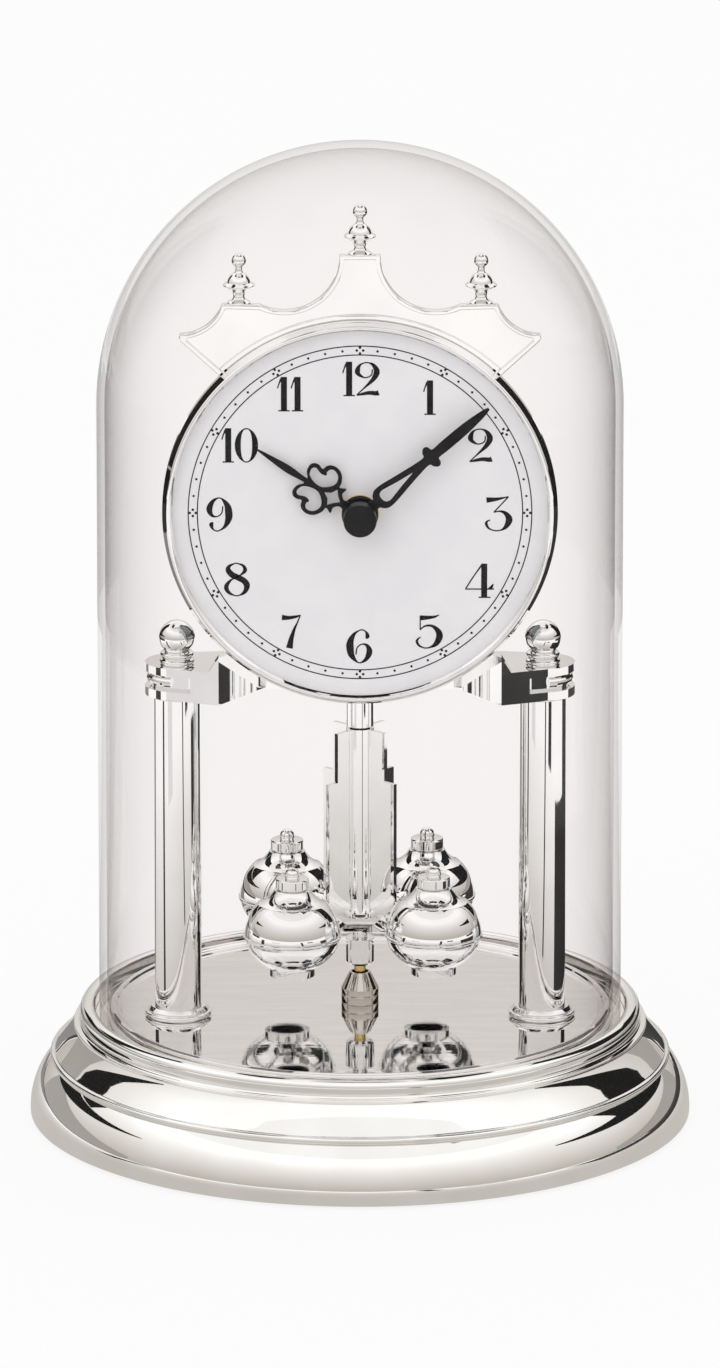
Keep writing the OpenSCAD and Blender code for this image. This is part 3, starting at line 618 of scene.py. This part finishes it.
# Each digit is a list of strokes; a stroke is points of (x, y, width), in units of the digit height
DIGITS = {
    "0": (0.66, [[(0.245 * math.cos(t), 0.487 * math.sin(t), 0.02 + 0.15 * math.cos(t) ** 2)
                  for t in (math.tau * i / 24 for i in range(25))]]),
    "1": (0.34, [[(0.03, 0.5, 0.17), (0.03, 0.0, 0.17), (0.03, -0.48, 0.17)],
                 [(-0.13, -0.485, 0.03), (0.03, -0.485, 0.03), (0.19, -0.485, 0.03)],
                 [(-0.03, 0.46, 0.08), (-0.10, 0.33, 0.04), (-0.15, 0.17, 0.015)]]),
    "2": (0.68, [[(0.13, 0.276, 0.012), (0.10, 0.11, 0.02), (-0.07, 0.037, 0.03), (-0.24, 0.12, 0.10),
                  (-0.29, 0.235, 0.15), (-0.21, 0.41, 0.06), (-0.03, 0.475, 0.02), (0.15, 0.41, 0.09),
                  (0.255, 0.215, 0.17), (0.17, 0.01, 0.13), (-0.03, -0.2, 0.06), (-0.24, -0.40, 0.025),
                  (-0.31, -0.475, 0.02)],
                 [(-0.30, -0.478, 0.03), (-0.155, -0.44, 0.08), (0.05, -0.405, 0.11),
                  (0.235, -0.42, 0.13), (0.31, -0.40, 0.15)]]),
    "3": (0.76, [[(-0.354, 0.40, 0.16), (-0.083, 0.425, 0.10), (0.125, 0.467, 0.05), (0.27, 0.5, 0.012)],
                 [(0.27, 0.5, 0.015), (0.06, 0.27, 0.025), (-0.146, 0.042, 0.03)],
                 [(-0.146, 0.042, 0.02), (0.04, 0.075, 0.05), (0.2, 0.0, 0.12), (0.29, -0.167, 0.19),
                  (0.21, -0.36, 0.13), (0.083, -0.467, 0.05), (-0.104, -0.495, 0.02),
                  (-0.28, -0.43, 0.05), (-0.36, -0.30, 0.08), (-0.33, -0.22, 0.05), (-0.25, -0.185, 0.02)]]),
    "4": (0.80, [[(0.105, 0.5, 0.17), (0.105, 0.0, 0.17), (0.105, -0.48, 0.17)],
                 [(0.05, 0.48, 0.05), (-0.2, 0.12, 0.03), (-0.42, -0.235, 0.02)],
                 [(-0.43, -0.245, 0.035), (0.0, -0.245, 0.035), (0.38, -0.245, 0.035)],
                 [(0.20, -0.25, 0.02), (0.30, -0.20, 0.08), (0.36, -0.10, 0.03)],
                 [(-0.05, -0.487, 0.03), (0.1, -0.487, 0.03), (0.285, -0.487, 0.03)]]),
    "5": (0.78, [[(-0.268, 0.40, 0.15), (-0.055, 0.41, 0.11), (0.136, 0.434, 0.07), (0.264, 0.485, 0.02)],
                 [(-0.265, 0.46, 0.03), (-0.265, 0.25, 0.025), (-0.265, 0.05, 0.03)],
                 [(-0.268, 0.05, 0.02), (-0.12, 0.165, 0.05), (0.09, 0.157, 0.08), (0.25, 0.0, 0.16),
                  (0.28, -0.162, 0.19), (0.19, -0.353, 0.14), (0.05, -0.45, 0.06), (-0.12, -0.485, 0.03),
                  (-0.29, -0.417, 0.06), (-0.36, -0.29, 0.07), (-0.31, -0.2, 0.04), (-0.25, -0.17, 0.02)]]),
    "6": (0.76, [[(0.17, 0.23, 0.03), (0.225, 0.29, 0.12), (0.18, 0.42, 0.05), (0.05, 0.48, 0.02),
                  (-0.14, 0.37, 0.08), (-0.255, 0.15, 0.18), (-0.27, -0.05, 0.21), (-0.22, -0.28, 0.16),
                  (-0.03, -0.485, 0.03), (0.17, -0.40, 0.10), (0.28, -0.17, 0.17), (0.21, 0.02, 0.09),
                  (0.06, 0.055, 0.03), (-0.07, -0.05, 0.02), (-0.10, -0.25, 0.012)]]),
    "7": (0.58, [[(-0.255, 0.413, 0.16), (-0.064, 0.404, 0.11), (0.128, 0.434, 0.08), (0.277, 0.48, 0.03)],
                 [(0.27, 0.485, 0.03), (0.19, 0.28, 0.04), (0.09, 0.05, 0.08), (0.0, -0.25, 0.14),
                  (-0.04, -0.49, 0.19)]]),
    "8": (0.72, [[(-0.02, 0.48, 0.02), (-0.2, 0.40, 0.08), (-0.245, 0.28, 0.15), (-0.14, 0.14, 0.17),
                  (0.02, 0.06, 0.17), (0.2, -0.04, 0.17), (0.285, -0.18, 0.17), (0.21, -0.38, 0.10),
                  (0.0, -0.48, 0.02), (-0.22, -0.39, 0.09), (-0.3, -0.22, 0.13), (-0.2, -0.05, 0.07),
                  (-0.05, 0.05, 0.03), (0.12, 0.14, 0.05), (0.235, 0.27, 0.11), (0.17, 0.41, 0.07),
                  (-0.02, 0.48, 0.02)]]),
}
DIGITS["9"] = (DIGITS["6"][0], [[(-x, -y, w) for x, y, w in DIGITS["6"][1][0]]])


def ribbon(stroke, cx, cy, lift):
    """A closed outline round a stroke of changing width, placed at cx, cy."""
    line = smooth(stroke, 6, closed=False)
    left, right = [], []
    for i, (x, y, w) in enumerate(line):
        ax, ay = line[max(i - 1, 0)][:2]
        bx, by = line[min(i + 1, len(line) - 1)][:2]
        along = math.hypot(bx - ax, by - ay) or 1.0
        nx, ny = (ay - by) / along, (bx - ax) / along
        half = max(w, 0.035) / 2
        left.append((cx + (x + nx * half) * DIGIT_H, cy + (y + ny * half) * DIGIT_H))
        right.append((cx + (x - nx * half) * DIGIT_H, cy + (y - ny * half) * DIGIT_H))
    return left, right, lift


def strip_mesh(name, strips, top):
    """Thin printed strips on the dial: quads between two edges, with a hair of thickness."""
    verts, faces = [], []
    for left, right, lift in strips:
        base = len(verts)
        count = len(left)
        low = 2 * count
        for y in (FACE_Y - top - lift, FACE_Y + PRINT_DEPTH):
            for x, z in left + right:
                verts.append((x * MM, y * MM, (z + DIAL_Z) * MM))
        for i in range(count - 1):
            a, b, c, d = base + i, base + i + 1, base + count + i + 1, base + count + i
            faces += [(a, b, c, d), (a + low, d + low, c + low, b + low),
                      (a, a + low, b + low, b), (d, c, c + low, d + low)]
        a, d = base, base + count
        faces.append((a, d, d + low, a + low))
        a, d = base + count - 1, base + 2 * count - 1
        faces.append((a, a + low, d + low, d))
    mesh = bpy.data.meshes.new(name)
    mesh.from_pydata(verts, [], faces)
    mesh.validate()
    fix_normals(mesh)
    return mesh


def circle_strip(r, width, lift):
    """A printed circle round the dial's centre."""
    outer = arc(0, 0, r + width / 2, 0, 360, 240)
    inner = arc(0, 0, r - width / 2, 0, 360, 240)
    return outer, inner, lift


def dot(cx, cy, r, lift):
    """A small printed dot as two half outlines."""
    return arc(cx, cy, r, 90, 270, 10), arc(cx, cy, r, 90, -90, 10), lift


NUMERALS = [("1", 15.4, 26.6), ("2", 27.0, 15.6), ("3", 31.1, -0.2), ("4", 27.0, -15.7),
            ("5", 15.6, -27.5), ("6", -0.1, -30.9), ("7", -15.5, -27.5), ("8", -27.6, -15.4),
            ("9", -31.5, -0.4), ("10", -26.9, 15.6), ("11", -15.7, 27.4), ("12", 0.2, 30.9)]
strips = []
for text, cx, cy in NUMERALS:
    widths = [DIGITS[c][0] + 0.045 for c in text]
    x = cx - sum(widths) * DIGIT_H / 2
    for c, width in zip(text, widths):
        for k, stroke in enumerate(DIGITS[c][1]):
            strips.append(ribbon(stroke, x + width * DIGIT_H / 2, cy, 0.004 * k))
        x += width * DIGIT_H
finish("dial_numerals", strip_mesh("dial_numerals", strips, 0.03), INK, "base", (), False)

# The minute track: two fine circles with a dot for each minute and four dots for each hour
TRACK_R = 37.42
LINE_WIDTH = 0.24
DOT_LIFT = 0.004
track = [circle_strip(38.45, LINE_WIDTH, 0.0), circle_strip(36.4, LINE_WIDTH, 0.0)]
for minute in range(60):
    turn = math.radians(6 * minute)
    px, py = math.sin(turn), math.cos(turn)
    if minute % 5:
        track.append(dot(TRACK_R * px, TRACK_R * py, 0.27, DOT_LIFT))
    else:
        for r, side in ((38.1, 0), (36.75, 0), (TRACK_R, 0.72), (TRACK_R, -0.72)):
            track.append(dot(r * px + side * py, r * py - side * px, 0.29, DOT_LIFT))
finish("dial_minute_track", strip_mesh("dial_minute_track", track, 0.03), INK, "base",
       (), False)

# ---------------------------------------------------------------- pendulum

TURN = math.radians(REST_TURN)


def ball_spots():
    """The four balls' centres as the pendulum rests."""
    spots = []
    for i in (1, 2, 3, 4):
        a = TURN + math.radians(45 + 90 * i)
        spots.append((BALL_REACH * math.cos(a), PEND_Y + BALL_REACH * math.sin(a), BALL_Z))
    return spots


upper_side = (
    oval(0, 0, BALL_R, 10.4, 0, 45, 22) + arc(9.6, 13.1, 6.1, 248, 205, 14)
    + [(3.9, 10.6), (1.25, 10.6), (1.25, 9.8), (3.4, 9.8)]
    + [(4.6, 8.6), (6.2, 7.3), (8.4, 5.4), (9.6, 2.8), (9.9, 0)])
lower_side = (
    [(9.9, 0), (BALL_R, 0), (BALL_R + 0.3, -0.2), (BALL_R + 0.3, -0.6), (BALL_R - 0.05, -0.9)]
    + oval(0, 0, BALL_R, 8.8, -7, -60, 24)
    + [(5.2, -7.8), (5.2, -9.5), (3.8, -9.5), (3.8, -6.6)]
    + [(5.2, -6.5), (7.0, -5.7), (8.6, -4.2), (9.7, -2.0)])
cap_top = (
    [(0, 7.0), (1.2, 7.0), (1.2, 10.62), (3.45, 10.62)]
    + [(3.75, 11.0), (3.75, 12.9), (3.5, 13.2), (1.6, 13.2)] + arc(0, 13.9, 1.7, -20, 89, 16) + [(0, 15.6)])
for i, spot in enumerate(ball_spots(), 1):
    lathe(f"pendulum_ball_{i}_top", upper_side, spot, CHROME, "pendulum", [f"ball_{i}_upper"],
          0.12, 112)
    lathe(f"pendulum_ball_{i}_bowl", lower_side, spot, CHROME, "pendulum", [f"ball_{i}_lower"],
          0.1, 112)
lathe("pendulum_ball_caps", cap_top, ball_spots(), CHROME, "pendulum", ["ball_caps"], 0.12, 72)

sleeve_side = [(1.22, 33.4), (2.3, 33.4), (3.25, 34.2), (3.25, 39.7), (1.22, 39.7)]
lathe("pendulum_sleeve_turned", sleeve_side, (0, PEND_Y, 0), CHROME, "pendulum",
      ["pendulum_sleeve"], 0.12, 96)
pin_side = [(0, 27.6), (0.9, 27.6), (1.3, 28.2), (1.3, 33.4), (1.22, 33.4), (1.22, 33.18), (0, 33.18)]
lathe("pendulum_pin_turned", pin_side, (0, PEND_Y, 0), BRASS, "pendulum", ["pendulum_pin"],
      0.05, 64)
tube_side = [(2.3, 89.7), (3.1, 89.7), (3.1, 101.6), (2.3, 101.6)]
lathe("centre_tube_turned", tube_side, (0, PEND_Y, 0), CHROME, "base", ["centre_tube"],
      0.1, 96)

# ---------------------------------------------------------------- stage, lights and camera

def stage_material(name, colour, glow=0.0, glow_colour=(1, 1, 1)):
    """Matt card, dark or glowing."""
    made, tree, shader = material(name)
    shader.inputs["Base Color"].default_value = (*colour, 1)
    shader.inputs["Roughness"].default_value = 0.9
    shader.inputs["Emission Color"].default_value = (*glow_colour, 1)
    shader.inputs["Emission Strength"].default_value = glow
    return made


def card(name, corners, faces, mat, seen=False):
    """A card in the studio, hidden from the camera unless seen is set."""
    mesh = bpy.data.meshes.new(name)
    mesh.from_pydata(corners, [], faces)
    obj = bpy.data.objects.new(name, mesh)
    bpy.context.scene.collection.objects.link(obj)
    mesh.materials.append(mat)
    obj.visible_camera = seen
    return obj


def floor_material():
    """Pale floor: pure white to look at; in the metal it glows as a painted reflection, with warm grey
    painted shade round the base.
    """
    made, tree, shader = material("floor_white")
    shader.inputs["Base Color"].default_value = (0.80, 0.80, 0.80, 1)
    shader.inputs["Roughness"].default_value = 0.9
    shader.inputs["Specular IOR Level"].default_value = 0.0
    link = tree.links.new
    # Painted reflection: for glossy rays the floor glows warm grey near the base, a painted shade, and near
    # white further out
    spot = tree.nodes.new("ShaderNodeTexCoord")
    reach = tree.nodes.new("ShaderNodeVectorMath")
    reach.operation = "LENGTH"
    link(spot.outputs["Object"], reach.inputs[0])
    shade = tree.nodes.new("ShaderNodeEmission")
    link(ramp(tree, reach.outputs["Value"], (0.50, 0.48, 0.45), (0.97, 0.97, 0.965), 0.09, 0.34),
         shade.inputs["Color"])
    shade.inputs["Strength"].default_value = 1.15
    # Most of what the camera sees is plain white; the rest is the lit card, which keeps the shadow
    white = tree.nodes.new("ShaderNodeEmission")
    path = tree.nodes.new("ShaderNodeLightPath")
    share = tree.nodes.new("ShaderNodeMath")
    share.operation = "MULTIPLY"
    share.inputs[1].default_value = 0.85
    link(path.outputs["Is Camera Ray"], share.inputs[0])
    seen = tree.nodes.new("ShaderNodeMixShader")
    link(share.outputs[0], seen.inputs["Fac"])
    link(shader.outputs[0], seen.inputs[1])
    link(white.outputs[0], seen.inputs[2])
    mirrored_too = tree.nodes.new("ShaderNodeMixShader")
    link(path.outputs["Is Glossy Ray"], mirrored_too.inputs["Fac"])
    link(seen.outputs[0], mirrored_too.inputs[1])
    link(shade.outputs[0], mirrored_too.inputs[2])
    link(mirrored_too.outputs[0], tree.nodes["Material Output"].inputs["Surface"])
    return made


BLACK_CARD = stage_material("black_card", (0.004, 0.004, 0.004))
GREY_CARD = stage_material("grey_card", (0.16, 0.16, 0.16), 0.05)
FLOOR_HALF = 6.0
corners = [(x * FLOOR_HALF, y * FLOOR_HALF, 0) for x, y in ((-1, -1), (1, -1), (1, 1), (-1, 1))]
card("floor", corners, [(0, 1, 2, 3)], floor_material(), True)


def wrapped(name, start, end, near, far, low, high, mat):
    """A curved card between two azimuths, from radius near at low to radius far at high.
    A height given as a pair changes from the first azimuth to the second."""
    verts, faces = [], []
    lows, highs = (h if isinstance(h, tuple) else (h, h) for h in (low, high))
    count = max(2, round(abs(end - start) / 4))
    for i in range(count + 1):
        t = i / count
        a = math.radians(start + (end - start) * t)
        for r, (first, last) in ((near, lows), (far, highs)):
            z = first + (last - first) * t
            verts.append((r * math.sin(a), -r * math.cos(a), z))
    for i in range(count):
        k = 2 * i
        faces.append((k, k + 2, k + 3, k + 1))
    flag = card(name, verts, faces, mat)
    flag.visible_diffuse = False
    flag.visible_shadow = False
    flag.visible_transmission = False


def haze_material():
    """Studio wall seen only in the metal: warm grey at the floor, white higher up."""
    made, tree, shader = material("haze")
    tree.nodes.remove(shader)
    spot = tree.nodes.new("ShaderNodeTexCoord")
    split = tree.nodes.new("ShaderNodeSeparateXYZ")
    glow = tree.nodes.new("ShaderNodeEmission")
    tree.links.new(spot.outputs["Object"], split.inputs[0])
    tree.links.new(ramp(tree, split.outputs["Z"], (0.47, 0.44, 0.40), (1.0, 0.995, 0.99), 0.0, 1.0),
                   glow.inputs["Color"])
    glow.inputs["Strength"].default_value = 1.12
    tree.links.new(glow.outputs[0], tree.nodes["Material Output"].inputs["Surface"])
    return made


HAZE = haze_material()
PALE_CARD = stage_material("pale_card", (0.0, 0.0, 0.0), 0.80)
TAUPE_CARD = stage_material("taupe_card", (0.0, 0.0, 0.0), 0.38, (1.0, 0.95, 0.89))

# Seen only in polished metal, these give it its dark edges. In each row: azimuths in degrees from
# the front towards +X, radii near and far, heights low and high, all in metres.
FLAT = 0.0006
for label, start, end, near, far, low, high, mat in (
        ("paper_right", 66, 150, 0.125, 0.31, FLAT, FLAT, BLACK_CARD),
        ("paper_right_top", 108, 150, 0.31, 0.44, FLAT, FLAT, BLACK_CARD),
        ("paper_right_far", 84, 176, 0.44, 0.90, FLAT, FLAT, BLACK_CARD),
        ("paper_right_line", 17, 22, 0.15, 0.50, FLAT, FLAT, BLACK_CARD),
        ("paper_right_arm", 33, 47, 0.33, 0.44, FLAT, FLAT, BLACK_CARD),
        ("paper_left", -76, -68, 0.125, 0.44, FLAT, FLAT, BLACK_CARD),
        ("paper_left_edge", -150, -128, 0.125, 0.44, FLAT, FLAT, GREY_CARD),
        ("paper_left_far", -176, -84, 0.44, 0.90, FLAT, FLAT, BLACK_CARD),
        ("paper_left_arm", -50, -30, 0.30, 0.44, FLAT, FLAT, PALE_CARD),
        ("wall_right", 70, 150, 0.30, 0.30, (0.150, 0.055), (0.156, 0.150), BLACK_CARD),
        ("wall_right_high", 104, 140, 0.30, 0.30, 0.15, 0.42, BLACK_CARD),
        ("wall_left", -148, -80, 0.30, 0.30, (0.060, 0.142), (0.130, 0.146), BLACK_CARD),
        ("wall_left_high", -138, -112, 0.30, 0.30, 0.14, 0.40, BLACK_CARD),
        ("roof", -45, 45, 0.16, 0.30, 0.95, 0.95, BLACK_CARD),
        ("roof_right", 55, 140, 0.22, 0.46, 0.90, 0.90, BLACK_CARD),
        ("roof_left", -140, -70, 0.24, 0.42, 0.90, 0.90, BLACK_CARD),
        ("side_left", -146, -84, 1.0, 1.0, 0.0, (0.34, 0.06), TAUPE_CARD),
        ("side_right", 96, 150, 1.0, 1.0, 0.0, (0.05, 0.22), TAUPE_CARD),
        ("haze_wall", -180, 180, 1.2, 1.2, 0.0, 1.5, HAZE)):
    wrapped(label, start, end, near, far, low, high, mat)


def softbox(name, spot, target, size, power):
    """A square area light that isn't itself mirrored in the metal."""
    light = bpy.data.lights.new(name, "AREA")
    light.shape = "RECTANGLE"
    light.size, light.size_y = size
    light.energy = power
    obj = bpy.data.objects.new(name, light)
    obj.location = spot
    obj.rotation_euler = (Vector(target) - Vector(spot)).to_track_quat("-Z", "Y").to_euler()
    bpy.context.scene.collection.objects.link(obj)
    obj.visible_glossy = False


softbox("key_box", (-0.9, -1.4, 1.7), (0, 0, 0.1), (1.0, 1.0), 4)
softbox("top_box", (0.3, 0.2, 1.9), (0, 0, 0.1), (1.2, 1.2), 3)

world = bpy.data.worlds.new("studio")
world.use_nodes = True
world.node_tree.nodes["Background"].inputs["Color"].default_value = (1.0, 0.995, 0.99, 1)
world.node_tree.nodes["Background"].inputs["Strength"].default_value = 1.0
bpy.context.scene.world = world
bpy.context.scene.view_settings.view_transform = "Standard"

# The view: nearly parallel, from 3 m away and a little above
PITCH = math.radians(15.35)
FAR = 3.0
AIM = Vector((0, 0, 0.1007))
FOCAL = 664.2
lens = bpy.data.cameras.new("camera")
lens.sensor_width = 36
lens.sensor_fit = "HORIZONTAL"
lens.lens = FOCAL
camera = bpy.data.objects.new("camera", lens)
camera.location = AIM + Vector((0, -FAR * math.cos(PITCH), FAR * math.sin(PITCH)))
camera.rotation_euler = (math.pi / 2 - PITCH, 0, 0)
bpy.context.scene.collection.objects.link(camera)
bpy.context.scene.camera = camera
